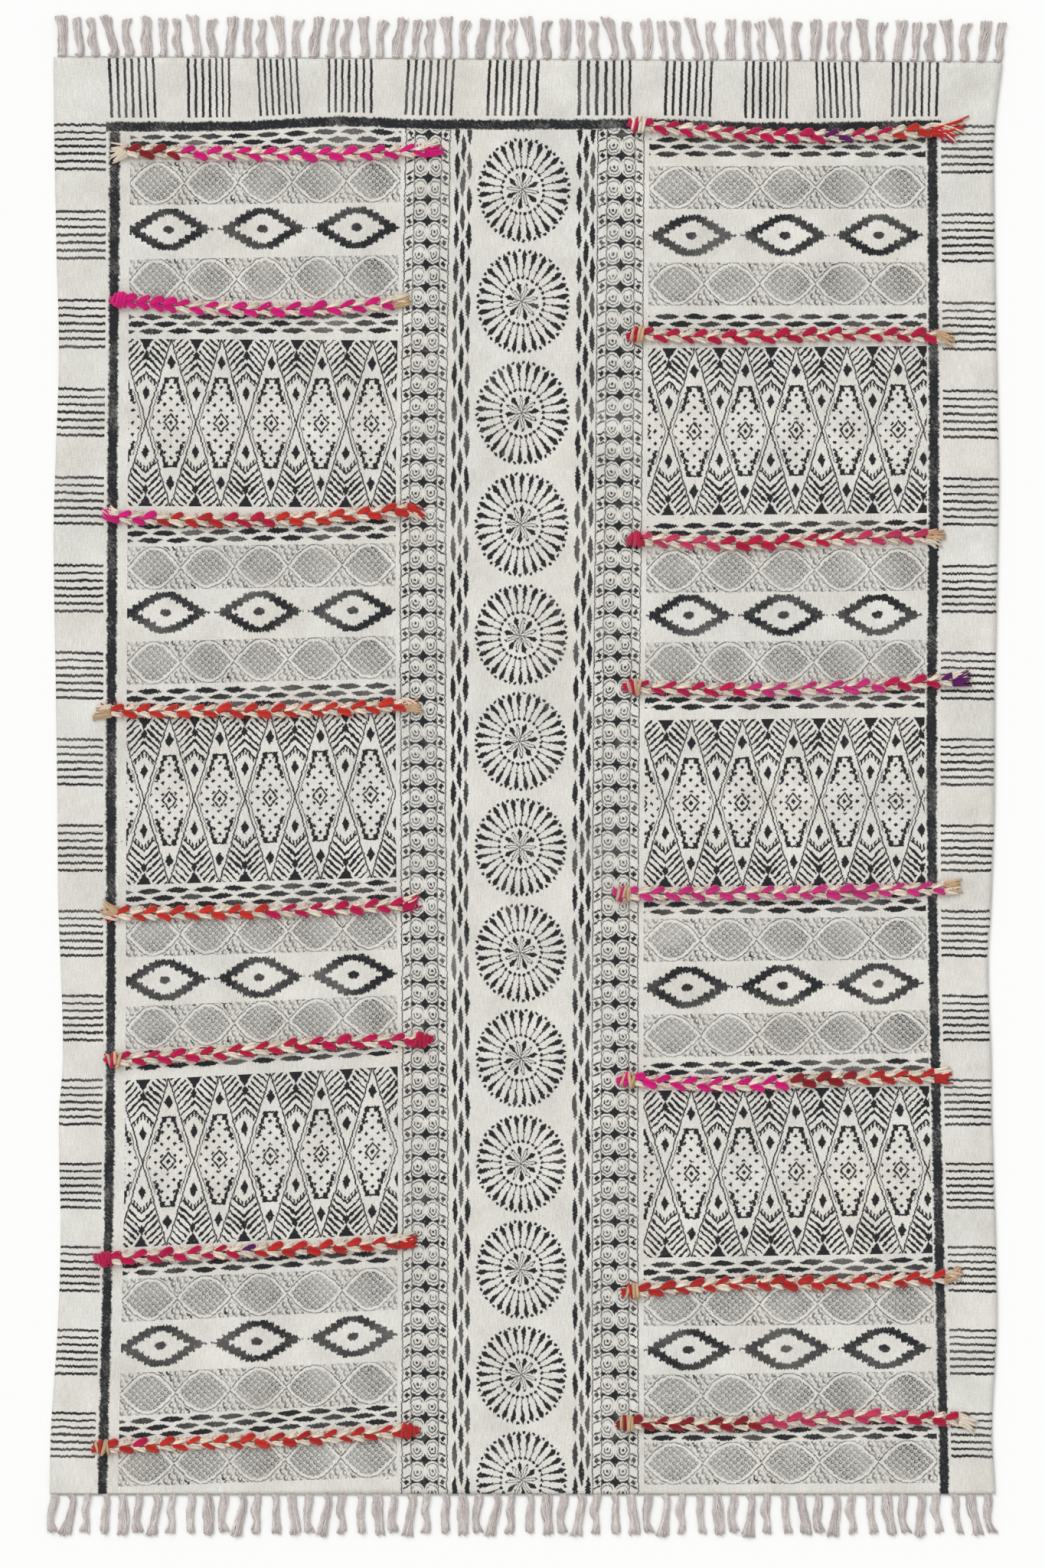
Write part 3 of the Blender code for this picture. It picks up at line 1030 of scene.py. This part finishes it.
def add_leaf(skein, centre, x, side, dye, fullness):
    """Add one plump leaf of wool, slanting from the middle line out to the braid's edge."""
    chance = skein.chance
    reach = LEAF_REACH * chance.uniform(0.90, 1.12)
    swell = fullness * chance.uniform(0.78, 1.18)
    slide, tilt = chance.uniform(-1.8, 1.8), chance.uniform(0.8, 1.25)
    path, radii = [], []
    for step in range(LEAF_STEPS + 1):
        p = -1.0 + 2.0 * step / LEAF_STEPS
        at_x = x + slide + reach * p
        at_y = centre(at_x) + side * (3.6 + tilt * 3.9 * p)
        base = top_height(at_x, at_y) + GAP
        path.append((at_x, at_y, base + 2.3 + 3.0 * (1.0 - p * p)))
        radii.append(3.6 * swell * math.sqrt(1.0 - 0.86 * p**6))
    skein.strand(path, radii, 12, dye, lobes=3, twist=0.5 * side, flat=0.68)


def add_core(skein, centre, first, last):
    """Add the two cream strands that run low along the plait, behind its crossings."""
    steps = max(2, round((last - first) / 5.0))
    for side in (1, -1):
        path = []
        for step in range(steps + 1):
            x = first + (last - first) * step / steps
            y = centre(x) + side * (3.3 + 0.7 * math.sin(0.9 * step + side))
            path.append((x, y, top_height(x, y) + GAP + 2.2))
        skein.strand(path, [3.0] * len(path), 8, DYES["cream"], lobes=2, twist=0.3, flat=0.7)


def add_fuzz(skein, centre, x, dye, amount, reach=12.0):
    """Add stray fibres that stand off the plait."""
    chance = skein.chance
    for _ in range(amount):
        at_x = x + chance.uniform(-LEAF_PITCH / 2.0, LEAF_PITCH / 2.0)
        side = chance.choice((-1.0, 1.0))
        at_y = centre(at_x) + side * chance.uniform(2.0, 8.5)
        angle = side * chance.uniform(0.25, math.pi - 0.25)
        far = chance.uniform(0.4, 1.0) * reach
        lift = chance.uniform(-3.0, 2.5)
        curl = chance.uniform(-0.9, 0.9)
        path = []
        for step in range(4):
            share = step / 3.0
            turn = angle + curl * share
            px, py = at_x + far * share * math.cos(turn), at_y + far * share * math.sin(turn)
            low = top_height(px, py) + 0.5
            path.append((px, py, max(low + 6.5 + lift * share - 5.5 * share * share, low)))
        skein.strand(path, (0.30, 0.26, 0.20, 0.08), 3, dye)


def add_knot(skein, centre, x, outward, dye, tail_dye):
    """Add the wrapped knot that ends a plait, with a short tail beyond it."""
    chance = skein.chance
    for turn_number in range(4):
        at = x + outward * (KNOT_REACH * 0.5 - turn_number * 4.2)
        phase, lean = chance.uniform(0.0, math.tau), chance.uniform(-2.6, 2.6)
        grow = (0.80, 1.0, 1.05, 0.92)[turn_number]
        path = []
        for step in range(15):
            angle = phase + math.tau * step / 14.0
            px = at + lean * math.cos(angle) + outward * 1.6 * step / 14.0
            py = centre(at) + 8.3 * grow * math.cos(angle)
            base = top_height(px, py) + GAP
            path.append((px, py, base + 5.6 + 2.7 * grow * math.sin(angle)))
        shade = tail_dye if turn_number == 1 else dye
        skein.strand(path, [2.75 * grow] * 15, 8, shade, lobes=2, twist=0.6, up=(1.0, 0.0, 0.0))
    add_tuft(skein, centre, x + outward * KNOT_REACH * 0.45, outward, tail_dye, 9, 11.0)


def add_tuft(skein, centre, x, outward, dye, count, reach, shift=0.0):
    """Add one lobe of the loose ends of wool past the last crossing."""
    chance = skein.chance
    sweep = chance.uniform(-0.4, 0.4)
    for number in range(count):
        spread_out = (number + 0.5) / count - 0.5
        far = reach * chance.uniform(0.6, 1.04)
        angle = spread_out * 0.30 + 0.5 * sweep + chance.uniform(-0.07, 0.07)
        bend = sweep + chance.uniform(-0.15, 0.15)
        path, radii = [], []
        for step in range(6):
            share = step / 5.0
            turn = angle + bend * share
            px = x + outward * far * share * math.cos(turn)
            py = centre(x) + shift + spread_out * (2.0 + 0.6 * count) + far * share * math.sin(turn)
            base = top_height(px, py) + GAP
            path.append((px, py, base + 1.5 + chance.uniform(2.6, 4.2) * (1.0 - share)))
            radii.append(1.8 - 0.7 * share * share)
        skein.strand(path, radii, 6, dye, lobes=2, twist=0.8)


def build_braid(row, number, material):
    """Build one plait of dyed and cream wool."""
    name, slot, start_x, end_x, heights, start_end, far_end, dyes = row
    skein = Skein(SEED + number)

    def centre(x):
        share = (x - start_x) / (end_x - start_x)
        return smooth_through(BRAID_STATIONS, heights, min(max(share, 0.0), 1.0))

    first = start_x + END_REACH[start_end.split(" ")[0]]
    last = end_x - END_REACH[far_end.split(" ")[0]]
    leaves = max(2, round((last - first) / LEAF_PITCH))
    wrapped = WRAP_SHARE if start_end.startswith("wrap") else 0.0
    add_core(skein, centre, first, last)
    for index in range(leaves):
        swing = 0.13 * math.sin(0.55 * index + number)  # which wool shows more, along the braid
        x = first + (last - first) * (index + 0.5) / leaves
        share = (x - start_x) / (end_x - start_x)
        dye_name = dye_along(dyes, share)
        for side in (1, -1):
            dyed = (index + (side < 0)) % 2 == 0
            if share < wrapped:
                add_leaf(skein, centre, x, side, DYES[dye_name], 1.25)
            elif dyed:
                add_leaf(skein, centre, x, side, DYES[dye_name], 1.14 + swing)
            else:
                add_leaf(skein, centre, x, side, DYES["cream"], 0.86 - swing)
        add_fuzz(skein, centre, x, DYES[dye_name], 14, 6.0)
        add_fuzz(skein, centre, x, DYES["cream"], 6, 4.5)
    for x, outward, end_style in ((first, -1.0, start_end), (last, 1.0, far_end)):
        shape, dye_name = end_style.split(" ", 1)
        wool = dyes[0][1] if outward < 0 else dyes[-1][1]
        if shape in ("knot", "wrap"):
            add_knot(skein, centre, x, outward, DYES[dye_name], DYES[wool])
        else:
            reach = END_REACH[shape]
            turned = skein.chance.choice((-1.0, 1.0))
            base = x - outward * 2.0
            add_tuft(skein, centre, base, outward, DYES[dye_name], 12, reach, 2.0 * turned)
            add_tuft(skein, centre, base, outward, DYES[wool], 5, reach * 0.7, -1.0 * turned)
            add_tuft(skein, centre, base, outward, DYES["cream"], 7, reach * 0.9, -4.5 * turned)
    braid = skein.piece(name.replace("braid", "plait"), material)
    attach(braid, BODY)
    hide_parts(name)
    return braid


# ---- fringes
YARNS = 8  # in each tassel
YARN_STEPS = 12
YARN_RADIUS = 1.45
YARN_LOWEST = 1.5  # height of the lowest yarn's middle above the floor
CORD_STEPS = 120


def add_tassel(skein, side, x, form, lean, knotted):
    """Add one bundle of plied warp ends from the cloth's edge out to its cut tip."""
    chance = skein.chance
    _, reach, offsets, widths = form
    root_y = end_edge(side, x) + side * GAP
    phase, *_ = [chance.uniform(0.0, math.tau) for _ in range(4)]
    for yarn in range(YARNS):
        place = (yarn + 0.5) / YARNS - 0.5
        tone = chance.uniform(0.0, 1.0)
        dye = [low + (high - low) * tone for low, high in zip(FRINGE_DARK, FRINGE_LIGHT)]
        far = reach * chance.uniform(0.93, 1.03)
        crinkle = chance.uniform(0.0, math.tau)
        path, radii = [], []
        for step in range(YARN_STEPS + 1):
            station = step / YARN_STEPS
            centre = x + smooth_through(TASSEL_STATIONS, offsets, station) + lean * station**1.5
            width = smooth_through(TASSEL_STATIONS, widths, station)
            wave = 0.16 * math.sin(5.0 * station + phase + yarn * 0.7)
            spot = place + wave * (1.0 - 0.5 * station)
            px = centre + spot * (width - 2.2)
            px += 0.35 * math.sin(26.0 * station + crinkle)
            py = root_y + side * far * station
            stack = 1.0 - abs(2.0 * spot) ** 2
            pz = 1.2 + max(stack, 0.0) * 2.4 * (1.0 - 0.4 * station)
            pz += 0.4 * math.sin(9.0 * station + crinkle)
            path.append((px, py, max(pz, YARN_LOWEST)))
            radii.append(YARN_RADIUS * 0.85 if step == YARN_STEPS else YARN_RADIUS if step else 1.0)
        skein.strand(path, radii, 6, dye, lobes=2, twist=1.1)
    if knotted:
        path = []
        for step in range(11):
            angle = math.tau * step / 10.0
            path.append((x - 1.0 + 4.2 * math.cos(angle), root_y + side * (3.2 + 0.12 * step),
                         2.6 + 1.5 * math.sin(angle)))
        skein.strand(path, [1.15] * len(path), 6, FRINGE_DARK, up=(0.0, 1.0, 0.0))
    tip = x + offsets[-1] + lean
    for _ in range(9):
        start_x = tip + chance.uniform(-0.5, 0.5) * (widths[-1] - 3.0)
        angle = chance.uniform(-0.5, 0.5) + (start_x - tip) * 0.05
        far = chance.uniform(2.5, 5.0)
        start_y = root_y + side * reach * 0.93
        ends = [(start_x + far * share * math.sin(angle), start_y + side * far * share,
                 2.0 - 1.1 * share) for share in (0.0, 0.5, 1.0)]
        skein.strand(ends, (0.5, 0.4, 0.15), 4, FRINGE_LIGHT)


def build_fringe(row, number, material):
    """Build one end's row of tassels."""
    name, side, count, first_x, last_x, cycle, leans = row
    skein = Skein(SEED * 7 + number)
    places = [index / (len(leans) - 1) for index in range(len(leans))]
    for index in range(count):
        share = index / (count - 1)
        x = first_x + (last_x - first_x) * share
        form = TASSEL_FORMS[cycle[index % len(cycle)]]
        add_tassel(skein, side, x, form, smooth_through(places, leans, share), side > 0)
    cord = []
    for step in range(CORD_STEPS + 1):
        x = first_x - 4.0 + (last_x - first_x + 8.0) * step / CORD_STEPS
        cord.append((x, end_edge(side, x) + side * (GAP + 0.85), 1.7))
    skein.strand(cord, [0.8] * len(cord), 6, CLOTH_COOL, lobes=2, twist=1.2)
    fringe = skein.piece(name + "_yarn", material)
    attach(fringe, BODY)
    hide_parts(name)
    return fringe


# ---- floor, light and camera
VIEW_CENTRE = (-0.0054, -0.0107)  # metres
VIEW_HEIGHT = 1.9988  # metres from the picture's foot to its top, on the floor
LENS = 120.0
SENSOR = 36.0
FLOOR_HALF = 40.0  # metres, so far out that no view shows its edge
FLOOR_HEIGHT = -0.0004  # metres, just under the cloth
SKY_STRENGTH = 0.74
SUN_STRENGTH = 1.30
SUN_SPREAD = math.radians(35.0)
SUN_TURN = (math.radians(-38.0), math.radians(-34.0), 0.0)


def build_stage():
    """Add the pale floor, soft light from the upper left, an even sky and the camera overhead."""
    floor_material, _, shader = new_material("floor_paper", 0.9, 0.1, 0.0)
    shader.inputs["Base Color"].default_value = (0.97, 0.97, 0.965, 1.0)
    mesh = bpy.data.meshes.new("floor")
    corners = ((-1, -1), (1, -1), (1, 1), (-1, 1))
    mesh.from_pydata([(FLOOR_HALF * x, FLOOR_HALF * y, FLOOR_HEIGHT) for x, y in corners],
                     [], [(0, 1, 2, 3)])
    mesh.materials.append(floor_material)
    floor = add_object("floor", mesh)

    world = bpy.data.worlds.new("studio")
    world.use_nodes = True
    sky = world.node_tree.nodes["Background"]
    sky.inputs["Color"].default_value = (1.0, 1.0, 1.0, 1.0)
    sky.inputs["Strength"].default_value = SKY_STRENGTH
    bpy.context.scene.world = world

    sun = bpy.data.lights.new("key", "SUN")
    sun.energy = SUN_STRENGTH
    sun.angle = SUN_SPREAD
    add_object("key", sun).rotation_euler = SUN_TURN

    lens = bpy.data.cameras.new("overhead")
    lens.lens = LENS
    lens.sensor_width = SENSOR
    lens.clip_end = 100.0
    camera = add_object("overhead", lens)
    camera.location = (*VIEW_CENTRE, VIEW_HEIGHT * LENS / SENSOR)
    bpy.context.scene.camera = camera
    bpy.context.scene.view_settings.view_transform = "Standard"


def build_rug():
    cloth = build_cloth()
    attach(cloth, BODY)
    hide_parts("rug_cloth")
    wools = {}
    for number, row in enumerate(BRAIDS):
        slot = row[1]
        if slot not in wools:
            wools[slot] = yarn_material(slot, 0.95, 0.25, 0.0008)
        build_braid(row, number, wools[slot])
    cotton = yarn_material("fringe_cotton", 0.92, 0.1, 0.0005)
    for number, row in enumerate(FRINGES):
        build_fringe(row, number, cotton)


build_stage()
build_rug()
bpy.context.view_layer.update()
